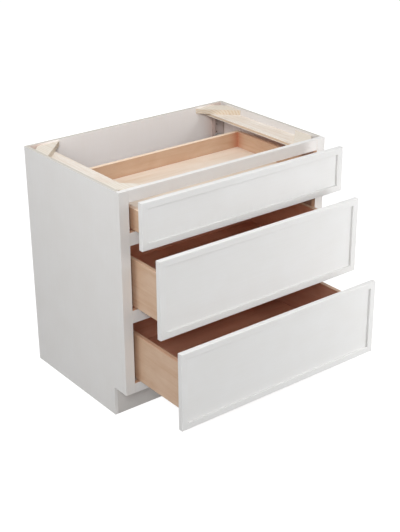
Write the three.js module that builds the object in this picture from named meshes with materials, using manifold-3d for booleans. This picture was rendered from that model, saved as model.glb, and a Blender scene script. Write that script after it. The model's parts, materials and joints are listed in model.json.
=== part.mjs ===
// Base cabinet with three drawers: a painted face-frame carcass, slim framed drawer fronts,
// dovetailed maple drawer boxes and concealed telescopic runners.
//
// Millimetres, +Z up, +X to the right, the front faces -Y. The origin is on the floor,
// at mid width, in the plane of the wall. The drawers are modelled partly pulled out.

import * as THREE from 'three';
import { mergeVertices } from 'three/addons/utils/BufferGeometryUtils.js';
import Module from 'manifold-3d';

const wasm = await Module();
wasm.setup();

// ---------------------------------------------------------------- driving dimensions

// Clearances
const JOINT_GAP = 0.2; // between faces that meet or rest on each other
const PANEL_PLAY = 0.6; // between the edge of a panel and the floor of its groove

// Cutting and joining
const PAST = 1; // how far a cut, or the root of a tenon, runs past the face that it crosses
const BORE_FACETS = 10;
const WELD = 1e-3; // points nearer than this are one point

// Carcass
const CABINET_WIDTH = 914.4;
const CABINET_DEPTH = 609.6; // wall to the front of the face frame
const CABINET_HEIGHT = 876.3;
const TOE_SPACE_HEIGHT = 114.3;
const TOE_SPACE_DEPTH = 76.2;
const SIDE_THICKNESS = 12.7;
const BACK_THICKNESS = 12.7;
const FLOOR_THICKNESS = 12.7;
const BASE_BOARD_THICKNESS = 12.7;
const HOUSING_DEPTH = 6.35; // grooves and rebates in the side panels
const FLOOR_STEP = 6; // bottom rail standing above the cabinet floor

// Face frame
const FRAME_THICKNESS = 19.05;
const STILE_WIDTH = 38.1;
const TOP_RAIL_HEIGHT = 42;
const MIDDLE_RAIL_HEIGHT = 47.5;
const BOTTOM_RAIL_HEIGHT = 38.1;
const TOP_OPENING_HEIGHT = 107.2;
const MIDDLE_OPENING_HEIGHT = 242;
const TENON_LENGTH = 12.7;
const TENON_THICKNESS = 9.5;
const TENON_SHOULDER = 6.35; // above and below each tenon

// Stiffening inside the carcass
const STRIP_WIDTH = 82;
const STRIP_THICKNESS = 12.7;
const BRACE_LEG = 127;
const BRACE_THICKNESS = 19.05;
const BRACE_CORNER_CLIP = 38;
const BRACE_DROP = 6.35; // braces lying below the rim of the carcass
const BATTEN_WIDTH = 43;
const BATTEN_DEPTH = 19.05;
const PEG_HOLE_DIAMETER = 5;
const PEG_HOLE_DEPTH = 13;
const PEG_HOLE_PITCH = 32;
const PEG_HOLE_INSET = 8; // hole centres from the free edge of the batten
const PEG_HOLE_RISE = 35; // lower hole above the bottom of its opening

// Drawer fronts
const FRONT_SIDE_REVEAL = 12.7; // face frame showing beside the fronts
const FRONT_TOP_REVEAL = 6.35;
const FRONT_BOTTOM_REVEAL = 4.8;
const FRONT_SPACING = 4.1; // between one front and the next
const FRONT_SPACING_DROP = 2.6; // middle of that gap below the middle of its rail
const FRONT_THICKNESS = 19.05;
const FRONT_STANDOFF = 2; // closed front to the face frame
const FRONT_MEMBER_WIDTH = 24;
const FRONT_RECESS = 6;
const FRONT_EDGE_RADIUS = 2;
const FRONT_EDGE_STEPS = 3;
const FRONT_STICKING = 1; // eased inner edge of the frame
const TONGUE_THICKNESS = 5;
const TONGUE_LENGTH = 9;

// Drawer boxes
const BOX_SIDE_SPACE = 19.1; // each side of the box inside its opening
const BOX_FLOOR_SPACE = 4.2; // under the box
const BOX_LENGTH = 521;
const BOX_BOARD_THICKNESS = 15.9;
const SHALLOW_BOX_HEIGHT = 76.2;
const DEEP_BOX_HEIGHT = 177.8;
const BOTTOM_THICKNESS = 5;
const BOTTOM_GROOVE_DEPTH = 6.35;
const TAIL_PITCH = 25.4;
const TAIL_SHARE = 0.6; // width of a tail at its end, as a share of the pitch
const TAIL_SLOPE = 1 / 7;
const NOTCH_POST = 5; // wood left between the notch for a runner and the side of the box

// Telescopic runners
const RUNNER_WIDTH = 38;
const RUNNER_SHEET = 1.5;
const RUNNER_LIP = 7;
const RUNNER_PLAY = 0.6; // between members that slide on each other
const RUNNER_FLANGE = 1.8; // flanges of the middle member
const RUNNER_WEB = 8; // upright of the middle member
const RUNNER_SIDE_SPACE = 1; // beside a runner in the notch of the box back
const RUNNER_END_SPACE = 2; // behind the closed box front
const RUNNER_FOOT_WIDTH = 28;
const RUNNER_FOOT_LENGTH = 12;
const SCREW_HOLE_DIAMETER = 4.5;
const BRACKET_THICKNESS = 2;
const BRACKET_HEIGHT = 28;
const BRACKET_ARM_HEIGHT = 18;
const BRACKET_GRIP = 30; // bracket lying on the batten
const CLIP_LENGTH = 46;
const CLIP_WIDTH = 20;
const CLIP_HEIGHT = 6;

// How far each drawer stands open
const TOP_DRAWER_PULL = 88;
const MIDDLE_DRAWER_PULL = 178;
const BOTTOM_DRAWER_PULL = 288;

// ---------------------------------------------------------------- planes and levels

const halfWidth = CABINET_WIDTH / 2;
const sideInner = halfWidth - SIDE_THICKNESS;
const frameFront = -CABINET_DEPTH;
const frameBack = frameFront + FRAME_THICKNESS;
const backInner = -BACK_THICKNESS;
const openingHalfWidth = halfWidth - STILE_WIDTH;

const floorTop = TOE_SPACE_HEIGHT + BOTTOM_RAIL_HEIGHT - FLOOR_STEP;
const floorUnder = floorTop - FLOOR_THICKNESS;
const toeFront = frameFront + TOE_SPACE_DEPTH;

const braceTop = CABINET_HEIGHT - BRACE_DROP;
const braceUnder = braceTop - BRACE_THICKNESS;
const stripTop = braceUnder - JOINT_GAP;
const stripUnder = stripTop - STRIP_THICKNESS;
const battenInner = sideInner - BATTEN_WIDTH;
const battenFront = backInner - JOINT_GAP - BATTEN_DEPTH;

// Openings of the face frame, from the top one down
const topOpening = { top: CABINET_HEIGHT - TOP_RAIL_HEIGHT };
topOpening.bottom = topOpening.top - TOP_OPENING_HEIGHT;
const middleOpening = { top: topOpening.bottom - MIDDLE_RAIL_HEIGHT };
middleOpening.bottom = middleOpening.top - MIDDLE_OPENING_HEIGHT;
const bottomOpening = {
  top: middleOpening.bottom - MIDDLE_RAIL_HEIGHT,
  bottom: TOE_SPACE_HEIGHT + BOTTOM_RAIL_HEIGHT,
};

// Middles of the gaps between the fronts
const upperGap = topOpening.bottom - MIDDLE_RAIL_HEIGHT / 2 - FRONT_SPACING_DROP;
const lowerGap = middleOpening.bottom - MIDDLE_RAIL_HEIGHT / 2 - FRONT_SPACING_DROP;

const drawers = [
  {
    name: 'top_drawer',
    opening: topOpening,
    frontTop: CABINET_HEIGHT - FRONT_TOP_REVEAL,
    frontBottom: upperGap + FRONT_SPACING / 2,
    boxHeight: SHALLOW_BOX_HEIGHT,
    pull: TOP_DRAWER_PULL,
  },
  {
    name: 'middle_drawer',
    opening: middleOpening,
    frontTop: upperGap - FRONT_SPACING / 2,
    frontBottom: lowerGap + FRONT_SPACING / 2,
    boxHeight: DEEP_BOX_HEIGHT,
    pull: MIDDLE_DRAWER_PULL,
  },
  {
    name: 'bottom_drawer',
    opening: bottomOpening,
    frontTop: lowerGap - FRONT_SPACING / 2,
    frontBottom: TOE_SPACE_HEIGHT + FRONT_BOTTOM_REVEAL,
    boxHeight: DEEP_BOX_HEIGHT,
    pull: BOTTOM_DRAWER_PULL,
  },
];

// Drawer boxes, in the closed position
const boxHalfWidth = openingHalfWidth - BOX_SIDE_SPACE;
const boxInner = boxHalfWidth - BOX_BOARD_THICKNESS;
const boxFront = frameFront - FRONT_STANDOFF;
const boxBack = boxFront + BOX_LENGTH;
const boxFrontInner = boxFront + BOX_BOARD_THICKNESS;
const boxBackInner = boxBack - BOX_BOARD_THICKNESS;

// Runners, in the closed position
const channelHeight = 2 * RUNNER_SHEET + RUNNER_FLANGE + 2 * RUNNER_PLAY;
const runnerHeight = 2 * channelHeight + 2 * RUNNER_PLAY;
const runnerOuter = boxInner - NOTCH_POST - RUNNER_SIDE_SPACE;
const runnerInner = runnerOuter - RUNNER_WIDTH;
const runnerMiddle = (runnerOuter + runnerInner) / 2;
const runnerFront = boxFrontInner + RUNNER_END_SPACE;
const bracketBack = battenFront - JOINT_GAP;
const bracketFront = bracketBack - BRACKET_THICKNESS;

// ---------------------------------------------------------------- materials

const paint = new THREE.MeshStandardMaterial({ color: 0xdedcd8, roughness: 0.45, metalness: 0 });
const frontPaint = new THREE.MeshStandardMaterial({ color: 0xe2e1de, roughness: 0.4, metalness: 0 });
const toePaint = new THREE.MeshStandardMaterial({ color: 0xc9c6c2, roughness: 0.5, metalness: 0 });
const maple = new THREE.MeshStandardMaterial({ color: 0xd9b594, roughness: 0.5, metalness: 0 });
const plywood = new THREE.MeshStandardMaterial({ color: 0xe4dccf, roughness: 0.6, metalness: 0 });
const pine = new THREE.MeshStandardMaterial({ color: 0xe9dcc6, roughness: 0.65, metalness: 0 });
const zinc = new THREE.MeshStandardMaterial({ color: 0xb9bcbe, roughness: 0.35, metalness: 0.9 });

// ---------------------------------------------------------------- shape helpers

const X = new THREE.Vector3(1, 0, 0);
const Y = new THREE.Vector3(0, 1, 0);
const Z = new THREE.Vector3(0, 0, 1);
const ALONG_X = new THREE.Matrix4().makeBasis(Y, Z, X);
const ALONG_MINUS_Y = new THREE.Matrix4().makeBasis(X, Z, Y.clone().negate());

/** The range between two distances on one side of the cabinet: -1 left, 1 right. */
function onSide(side, inner, outer) {
  return side < 0 ? [-outer, -inner] : [inner, outer];
}

/** A rectangular board that fills three ranges. */
function board(x, y, z) {
  const geometry = new THREE.BoxGeometry(x[1] - x[0], y[1] - y[0], z[1] - z[0]);
  return geometry.translate((x[0] + x[1]) / 2, (y[0] + y[1]) / 2, (z[0] + z[1]) / 2);
}

function extrude(outline, length) {
  const shape = new THREE.Shape(outline.map(([a, b]) => new THREE.Vector2(a, b)));
  return new THREE.ExtrudeGeometry(shape, { depth: length, bevelEnabled: false });
}

/** An outline of (y, z) points, extruded along X. */
function prismAlongX(outline, [low, high]) {
  return extrude(outline, high - low).translate(0, 0, low).applyMatrix4(ALONG_X);
}

/** An outline of (x, z) points, extruded along Y. */
function prismAlongY(outline, [low, high]) {
  return extrude(outline, high - low).translate(0, 0, -high).applyMatrix4(ALONG_MINUS_Y);
}

/** An outline of (x, y) points, extruded along Z. */
function prismAlongZ(outline, [low, high]) {
  return extrude(outline, high - low).translate(0, 0, low);
}

/** A round bore along Y. */
function boreAlongY(x, z, diameter, [low, high]) {
  const geometry = new THREE.CylinderGeometry(diameter / 2, diameter / 2, high - low, BORE_FACETS);
  return geometry.translate(x, (low + high) / 2, z);
}

/** A round bore along Z. */
function boreAlongZ(x, y, diameter, [low, high]) {
  const geometry = new THREE.CylinderGeometry(diameter / 2, diameter / 2, high - low, BORE_FACETS);
  return geometry.rotateX(Math.PI / 2).translate(x, y, (low + high) / 2);
}

function toSolid(geometry) {
  const bare = geometry.clone();
  bare.deleteAttribute('normal');
  bare.deleteAttribute('uv');
  const merged = mergeVertices(bare, WELD);
  return new wasm.Manifold(
    new wasm.Mesh({
      numProp: 3,
      vertProperties: merged.attributes.position.array,
      triVerts: new Uint32Array(merged.index.array),
    }),
  );
}

function toGeometry(solid) {
  const mesh = solid.getMesh();
  const geometry = new THREE.BufferGeometry();
  geometry.setAttribute('position', new THREE.BufferAttribute(mesh.vertProperties, 3));
  geometry.setIndex(new THREE.BufferAttribute(mesh.triVerts, 1));
  geometry.computeVertexNormals();
  return geometry;
}

function cut(geometry, ...tools) {
  const solid = tools.reduce((rest, tool) => rest.subtract(toSolid(tool)), toSolid(geometry));
  return toGeometry(solid);
}

function join(...geometries) {
  const solids = geometries.map(toSolid);
  return toGeometry(solids.reduce((whole, solid) => whole.add(solid)));
}

// ---------------------------------------------------------------- scene graph

const cabinet = new THREE.Group();

function place(group, name, geometry, material) {
  const mesh = new THREE.Mesh(geometry, material);
  mesh.name = name;
  group.add(mesh);
}

const SIDES = [
  { side: -1, label: 'left' },
  { side: 1, label: 'right' },
];

// ---------------------------------------------------------------- carcass panels

/** End panel with the toe notch, a groove for the floor and a rebate for the back. */
function sidePanel(side) {
  const front = frameBack + JOINT_GAP;
  const outline = [
    [toeFront, 0],
    [0, 0],
    [0, CABINET_HEIGHT],
    [front, CABINET_HEIGHT],
    [front, TOE_SPACE_HEIGHT],
    [toeFront, TOE_SPACE_HEIGHT],
  ];
  const panel = prismAlongX(outline, onSide(side, sideInner, halfWidth));
  const housing = onSide(side, sideInner - PAST, sideInner + HOUSING_DEPTH);
  const floorGroove = board(housing, [front - PAST, PAST], [floorUnder - JOINT_GAP, floorTop + JOINT_GAP]);
  const backRebate = board(housing, [backInner - JOINT_GAP, PAST], [-PAST, CABINET_HEIGHT + PAST]);
  return cut(panel, floorGroove, backRebate);
}

function addCarcassPanels() {
  const inner = sideInner - JOINT_GAP;
  const housed = sideInner + HOUSING_DEPTH - JOINT_GAP;
  const baseHeight = [0, floorUnder - JOINT_GAP];
  const backFace = backInner - JOINT_GAP;

  for (const { side, label } of SIDES) {
    place(cabinet, `${label}_side_panel`, sidePanel(side), paint);
  }
  place(cabinet, 'back_panel', board([-housed, housed], [backInner, 0], [0, CABINET_HEIGHT]), paint);
  place(
    cabinet,
    'cabinet_floor',
    board([-housed, housed], [frameBack + JOINT_GAP, backFace], [floorUnder, floorTop]),
    plywood,
  );
  place(
    cabinet,
    'toe_board',
    board([-inner, inner], [toeFront, toeFront + BASE_BOARD_THICKNESS], baseHeight),
    toePaint,
  );
  place(
    cabinet,
    'rear_base_rail',
    board([-inner, inner], [backFace - BASE_BOARD_THICKNESS, backFace], baseHeight),
    plywood,
  );
}

// ---------------------------------------------------------------- face frame

/** Tenon of a rail, or its mortise when grown by a gap, at one end of the rail. */
function tenon(side, [bottom, top], grow) {
  const middle = (frameFront + frameBack) / 2;
  const half = TENON_THICKNESS / 2 + grow;
  return board(
    onSide(side, openingHalfWidth - PAST, openingHalfWidth + TENON_LENGTH + grow),
    [middle - half, middle + half],
    [bottom + TENON_SHOULDER - grow, top - TENON_SHOULDER + grow],
  );
}

function addFaceFrame() {
  const rails = {
    top_rail: [topOpening.top, CABINET_HEIGHT],
    upper_middle_rail: [middleOpening.top, topOpening.bottom],
    lower_middle_rail: [bottomOpening.top, middleOpening.bottom],
    bottom_rail: [TOE_SPACE_HEIGHT, bottomOpening.bottom],
  };
  const levels = Object.values(rails);
  const depth = [frameFront, frameBack];
  const shoulder = openingHalfWidth - JOINT_GAP;

  for (const { side, label } of SIDES) {
    const blank = board(onSide(side, openingHalfWidth, halfWidth), depth, [TOE_SPACE_HEIGHT, CABINET_HEIGHT]);
    const mortises = levels.map((level) => tenon(side, level, JOINT_GAP));
    place(cabinet, `${label}_stile`, cut(blank, ...mortises), paint);
  }
  for (const [name, level] of Object.entries(rails)) {
    const tenons = SIDES.map(({ side }) => tenon(side, level, 0));
    place(cabinet, name, join(board([-shoulder, shoulder], depth, level), ...tenons), paint);
  }
}

// ---------------------------------------------------------------- stiffening

/** Flat corner brace: a right-angled triangle with its corner clipped off. */
function cornerBrace(side, cornerY, inward) {
  const corner = sideInner - JOINT_GAP;
  const outline = [
    [BRACE_CORNER_CLIP, 0],
    [BRACE_LEG, 0],
    [0, BRACE_LEG],
    [0, BRACE_CORNER_CLIP],
  ].map(([across, along]) => [side * (corner - across), cornerY + inward * along]);
  return prismAlongZ(outline, [braceUnder, braceTop]);
}

/** Upright batten in a rear corner, drilled for the pegs beside each drawer. */
function rearBatten(side) {
  const outer = sideInner - JOINT_GAP;
  const depth = [battenFront, backInner - JOINT_GAP];
  const height = [floorTop + JOINT_GAP, stripUnder - JOINT_GAP];
  const blank = board(onSide(side, battenInner, outer), depth, height);
  const x = side * (battenInner + PEG_HOLE_INSET);
  const bores = drawers.flatMap(({ opening }) =>
    [0, PEG_HOLE_PITCH].map((step) => {
      const z = opening.bottom + PEG_HOLE_RISE + step;
      return boreAlongY(x, z, PEG_HOLE_DIAMETER, [battenFront - PAST, battenFront + PEG_HOLE_DEPTH]);
    }),
  );
  return cut(blank, ...bores);
}

function addStiffening() {
  const front = frameBack + JOINT_GAP;
  const back = backInner - JOINT_GAP;
  const outer = sideInner - JOINT_GAP;

  for (const { side, label } of SIDES) {
    const across = onSide(side, sideInner - STRIP_WIDTH, outer);
    place(cabinet, `${label}_top_strip`, board(across, [front, back], [stripUnder, stripTop]), plywood);
    place(cabinet, `front_${label}_corner_brace`, cornerBrace(side, front, 1), pine);
    place(cabinet, `rear_${label}_corner_brace`, cornerBrace(side, back, -1), pine);
    place(cabinet, `${label}_rear_batten`, rearBatten(side), paint);
  }
}

// ---------------------------------------------------------------- drawer fronts

/** Section of the front's frame: how far in from the outer edge, and how far behind its face. */
function frontMemberSection() {
  const section = [];
  for (let step = 0; step <= FRONT_EDGE_STEPS; step += 1) {
    const turn = (step / FRONT_EDGE_STEPS) * (Math.PI / 2);
    section.push([
      FRONT_EDGE_RADIUS * (1 - Math.cos(turn)),
      FRONT_EDGE_RADIUS * (1 - Math.sin(turn)),
    ]);
  }
  const grooveFloor = FRONT_MEMBER_WIDTH - TONGUE_LENGTH - PANEL_PLAY;
  const grooveBack = FRONT_RECESS + TONGUE_THICKNESS + 2 * JOINT_GAP;
  section.push(
    [FRONT_MEMBER_WIDTH - FRONT_STICKING, 0],
    [FRONT_MEMBER_WIDTH, FRONT_STICKING],
    [FRONT_MEMBER_WIDTH, FRONT_RECESS],
    [grooveFloor, FRONT_RECESS],
    [grooveFloor, grooveBack],
    [FRONT_MEMBER_WIDTH, grooveBack],
    [FRONT_MEMBER_WIDTH, FRONT_THICKNESS],
    [0, FRONT_THICKNESS],
  );
  return section;
}

/**
 * Mitred frame of a drawer front. A square frame is turned in four facets, then its
 * two halves are moved apart to the full width.
 */
function frontFrame(width, height, face, middle) {
  const section = frontMemberSection();
  const profile = [...section, section[0]].map(
    ([inset, depth]) => new THREE.Vector2((height / 2 - inset) * Math.SQRT2, depth),
  );
  const geometry = new THREE.LatheGeometry(profile.reverse(), 4, Math.PI / 4);
  const position = geometry.attributes.position;
  for (let i = 0; i < position.count; i += 1) {
    const x = position.getX(i);
    position.setX(i, x + Math.sign(x) * (width - height) / 2);
  }
  return toGeometry(toSolid(geometry.translate(0, face, middle)));
}

/** Flat panel of a drawer front, with a tongue all round that sits in the frame's groove. */
function frontPanel(width, height, face, middle) {
  const tongueFront = face + FRONT_RECESS + JOINT_GAP;
  const clear = FRONT_MEMBER_WIDTH + JOINT_GAP;
  const housed = FRONT_MEMBER_WIDTH - TONGUE_LENGTH;
  const field = (inset, depth) =>
    board(
      [inset - width / 2, width / 2 - inset],
      depth,
      [middle - height / 2 + inset, middle + height / 2 - inset],
    );
  return join(
    field(housed, [tongueFront, tongueFront + TONGUE_THICKNESS]),
    field(clear, [tongueFront, face + FRONT_THICKNESS]),
  );
}

function addDrawerFront(group, drawer) {
  const width = CABINET_WIDTH - 2 * FRONT_SIDE_REVEAL;
  const height = drawer.frontTop - drawer.frontBottom;
  const middle = (drawer.frontTop + drawer.frontBottom) / 2;
  const face = boxFront - JOINT_GAP - FRONT_THICKNESS;
  place(group, `${drawer.name}_front_frame`, frontFrame(width, height, face, middle), frontPaint);
  place(group, `${drawer.name}_front_panel`, frontPanel(width, height, face, middle), frontPaint);
}

// ---------------------------------------------------------------- drawer boxes

/** Middles and half widths of the dovetails up the height of a box. */
function tailLayout(bottom, height) {
  const count = Math.max(2, Math.round(height / TAIL_PITCH));
  const pitch = height / count;
  const root = (pitch * TAIL_SHARE) / 2 - BOX_BOARD_THICKNESS * TAIL_SLOPE;
  const middles = Array.from({ length: count }, (_, i) => bottom + (i + 0.5) * pitch);
  return { middles, halfAt: (reach) => root + reach * TAIL_SLOPE };
}

/** Side of a box: dovetails at both ends. */
function boxSide(side, bottom, height) {
  const { middles, halfAt } = tailLayout(bottom, height);
  const frontRoot = boxFrontInner + JOINT_GAP;
  const backRoot = boxBackInner - JOINT_GAP;
  const reach = BOX_BOARD_THICKNESS;
  const frontEnd = middles.flatMap((middle) => [
    [frontRoot, middle - halfAt(0)],
    [boxFront, middle - halfAt(reach)],
    [boxFront, middle + halfAt(reach)],
    [frontRoot, middle + halfAt(0)],
  ]);
  const backEnd = middles.toReversed().flatMap((middle) => [
    [backRoot, middle + halfAt(0)],
    [boxBack, middle + halfAt(reach)],
    [boxBack, middle - halfAt(reach)],
    [backRoot, middle - halfAt(0)],
  ]);
  const outline = [
    [frontRoot, bottom],
    ...frontEnd,
    [frontRoot, bottom + height],
    [backRoot, bottom + height],
    ...backEnd,
    [backRoot, bottom],
  ];
  return prismAlongX(outline, onSide(side, boxInner, boxHalfWidth));
}

/** Sockets that the dovetails of both sides leave in a box front or back. */
function tailSockets(innerFace, outward, bottom, height) {
  const { middles, halfAt } = tailLayout(bottom, height);
  const near = innerFace - outward * PAST;
  const far = innerFace + outward * (BOX_BOARD_THICKNESS + PAST);
  return SIDES.flatMap(({ side }) =>
    middles.map((middle) => {
      const nearHalf = halfAt(-PAST) + JOINT_GAP;
      const farHalf = halfAt(BOX_BOARD_THICKNESS + PAST) + JOINT_GAP;
      const outline = [
        [near, middle - nearHalf],
        [far, middle - farHalf],
        [far, middle + farHalf],
        [near, middle + nearHalf],
      ];
      return prismAlongX(outline, onSide(side, boxInner - JOINT_GAP, boxHalfWidth + PAST));
    }),
  );
}

/** Notch in the lower edge of the box back, for the runner of one side. */
function runnerNotch(side, bottom, panelUnder) {
  return board(
    onSide(side, runnerInner - RUNNER_SIDE_SPACE, boxInner - NOTCH_POST),
    [boxBackInner - PAST, boxBack + PAST],
    [bottom - PAST, panelUnder],
  );
}

function addDrawerBox(group, drawer) {
  const { name, boxHeight: height, opening } = drawer;
  const bottom = opening.bottom + BOX_FLOOR_SPACE;
  const level = [bottom, bottom + height];
  const across = [-boxHalfWidth, boxHalfWidth];
  const panelUnder = opening.bottom + runnerHeight + 2 * JOINT_GAP;
  const panelLevel = [panelUnder, panelUnder + BOTTOM_THICKNESS];

  const housed = (depth) => [
    [-boxInner - depth, boxInner + depth],
    [boxFrontInner - depth, boxBackInner + depth],
  ];
  const groove = board(
    ...housed(BOTTOM_GROOVE_DEPTH),
    [panelLevel[0] - JOINT_GAP, panelLevel[1] + JOINT_GAP],
  );
  const front = board(across, [boxFront, boxFrontInner], level);
  const back = board(across, [boxBackInner, boxBack], level);
  const frontSockets = tailSockets(boxFrontInner, -1, bottom, height);
  const backSockets = tailSockets(boxBackInner, 1, bottom, height);
  const notches = SIDES.map(({ side }) => runnerNotch(side, bottom, panelUnder));

  for (const { side, label } of SIDES) {
    place(group, `${name}_${label}_side`, cut(boxSide(side, bottom, height), groove), maple);
  }
  place(group, `${name}_box_front`, cut(front, groove, ...frontSockets), maple);
  place(group, `${name}_box_back`, cut(back, groove, ...backSockets, ...notches), maple);
  place(
    group,
    `${name}_box_bottom`,
    board(...housed(BOTTOM_GROOVE_DEPTH - PANEL_PLAY), panelLevel),
    maple,
  );
}

// ---------------------------------------------------------------- runners

/** Lipped channel, opening upwards from its base at level 0. */
const channelSection = (() => {
  const half = RUNNER_WIDTH / 2;
  const wall = half - RUNNER_SHEET;
  const lip = half - RUNNER_LIP;
  const lipUnder = channelHeight - RUNNER_SHEET;
  const right = [
    [half, 0],
    [half, channelHeight],
    [lip, channelHeight],
    [lip, lipUnder],
    [wall, lipUnder],
    [wall, RUNNER_SHEET],
  ];
  return [...right, ...right.toReversed().map(([x, z]) => [-x, z])];
})();

/** Double flange that links the two channels. */
const middleSection = (() => {
  const flange = RUNNER_WIDTH / 2 - RUNNER_SHEET - RUNNER_PLAY;
  const web = RUNNER_WEB / 2;
  const low = RUNNER_SHEET + RUNNER_PLAY;
  const high = runnerHeight - low;
  const right = [
    [flange, low],
    [flange, low + RUNNER_FLANGE],
    [web, low + RUNNER_FLANGE],
    [web, high - RUNNER_FLANGE],
    [flange, high - RUNNER_FLANGE],
    [flange, high],
  ];
  return [...right, ...right.toReversed().map(([x, z]) => [-x, z])];
})();

function runnerMember(section, side, base, range) {
  const moved = section.map(([x, z]) => [side * runnerMiddle + x, base + z]);
  return prismAlongY(moved, range);
}

/** Fixed member: channel with a screwed foot on the rail and a bracket on the rear batten. */
function cabinetRunner(side, base) {
  const channel = runnerMember(channelSection, side, base, [runnerFront, bracketBack]);
  const footHalf = RUNNER_FOOT_WIDTH / 2;
  const footFront = runnerFront - RUNNER_FOOT_LENGTH;
  const foot = board(
    [side * runnerMiddle - footHalf, side * runnerMiddle + footHalf],
    [footFront, runnerFront + RUNNER_SHEET],
    [base, base + RUNNER_SHEET],
  );
  const footHole = boreAlongZ(
    side * runnerMiddle,
    footFront + RUNNER_FOOT_LENGTH / 2,
    SCREW_HOLE_DIAMETER,
    [base - PAST, base + RUNNER_SHEET + PAST],
  );
  const gripOuter = battenInner + BRACKET_GRIP;
  const bracketOutline = [
    [runnerInner, base],
    [gripOuter, base],
    [gripOuter, base + BRACKET_HEIGHT],
    [battenInner, base + BRACKET_HEIGHT],
    [battenInner - BRACKET_ARM_HEIGHT / 2, base + BRACKET_ARM_HEIGHT],
    [runnerInner, base + BRACKET_ARM_HEIGHT],
  ].map(([x, z]) => [side * x, z]);
  const bracket = prismAlongY(bracketOutline, [bracketFront, bracketBack]);
  const screwX = side * (battenInner + BRACKET_GRIP / 2);
  const screwHoles = [1 / 4, 3 / 4].map((share) =>
    boreAlongY(
      screwX,
      base + BRACKET_HEIGHT * share,
      SCREW_HOLE_DIAMETER,
      [bracketFront - PAST, bracketBack + PAST],
    ),
  );
  return cut(join(channel, foot, bracket), footHole, ...screwHoles);
}

/** Member under the box: an inverted channel with the release clip at its front end. */
function drawerRunner(side, base) {
  const inverted = channelSection.map(([x, z]) => [x, runnerHeight - z]);
  const channel = runnerMember(inverted, side, base, [runnerFront, boxBack]);
  const clipOutline = [
    [runnerInner + RUNNER_SHEET / 2, runnerFront],
    [runnerInner - CLIP_WIDTH, runnerFront],
    [runnerInner - CLIP_WIDTH, runnerFront + CLIP_LENGTH / 3],
    [runnerInner - CLIP_WIDTH / 2, runnerFront + CLIP_LENGTH],
    [runnerInner + RUNNER_SHEET / 2, runnerFront + CLIP_LENGTH],
  ].map(([x, y]) => [side * x, y]);
  const top = base + runnerHeight;
  return join(channel, prismAlongZ(clipOutline, [top - CLIP_HEIGHT, top]));
}

function addRunners(box, slide, drawer) {
  const base = drawer.opening.bottom + JOINT_GAP;
  for (const { side, label } of SIDES) {
    const prefix = `${drawer.name}_${label}`;
    const middle = runnerMember(middleSection, side, base, [runnerFront, boxBack]);
    place(cabinet, `${prefix}_cabinet_runner`, cabinetRunner(side, base), zinc);
    place(slide, `${prefix}_middle_runner`, middle, zinc);
    place(box, `${prefix}_drawer_runner`, drawerRunner(side, base), zinc);
  }
}

// ---------------------------------------------------------------- assembly

addCarcassPanels();
addFaceFrame();
addStiffening();

for (const drawer of drawers) {
  const box = new THREE.Group();
  const slide = new THREE.Group();
  box.position.y = -drawer.pull;
  slide.position.y = -drawer.pull / 2;
  addDrawerFront(box, drawer);
  addDrawerBox(box, drawer);
  addRunners(box, slide, drawer);
  cabinet.add(box, slide);
}

export default cabinet;
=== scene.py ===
"""Looks of a painted base cabinet with three dovetailed maple drawers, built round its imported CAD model.

Each CAD node has one finished piece in its place: a copy whose edges are eased or rounded over, with
every board cut from its own stretch of timber and every face in its own finish. The frames of the
drawer fronts are built member by member instead. Screws stand in the holes of the runners and inside
the box fronts. Metres, +Z up, the front faces -Y.
"""

import json
import math
import random

import bmesh
import bpy
from mathutils import Matrix, Vector


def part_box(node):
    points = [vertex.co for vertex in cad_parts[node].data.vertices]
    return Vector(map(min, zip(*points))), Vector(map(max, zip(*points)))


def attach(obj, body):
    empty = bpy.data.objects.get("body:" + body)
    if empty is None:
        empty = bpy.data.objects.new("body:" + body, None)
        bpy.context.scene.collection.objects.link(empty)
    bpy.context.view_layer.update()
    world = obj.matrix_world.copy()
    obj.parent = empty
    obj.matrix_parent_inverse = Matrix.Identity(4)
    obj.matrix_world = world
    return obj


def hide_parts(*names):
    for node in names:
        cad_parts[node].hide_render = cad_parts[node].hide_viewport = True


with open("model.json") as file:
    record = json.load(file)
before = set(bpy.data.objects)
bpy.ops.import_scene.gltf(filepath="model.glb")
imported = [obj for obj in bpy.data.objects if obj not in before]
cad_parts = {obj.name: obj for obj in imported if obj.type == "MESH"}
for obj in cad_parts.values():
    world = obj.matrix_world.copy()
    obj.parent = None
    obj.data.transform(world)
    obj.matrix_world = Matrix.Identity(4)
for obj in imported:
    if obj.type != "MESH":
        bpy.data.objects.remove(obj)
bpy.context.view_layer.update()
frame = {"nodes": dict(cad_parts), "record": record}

DRAWERS = ("top_drawer", "middle_drawer", "bottom_drawer")
SIDES = {"left": -1, "right": 1}
MM = 0.001


# ---------------------------------------------------------------- shader helpers


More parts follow.
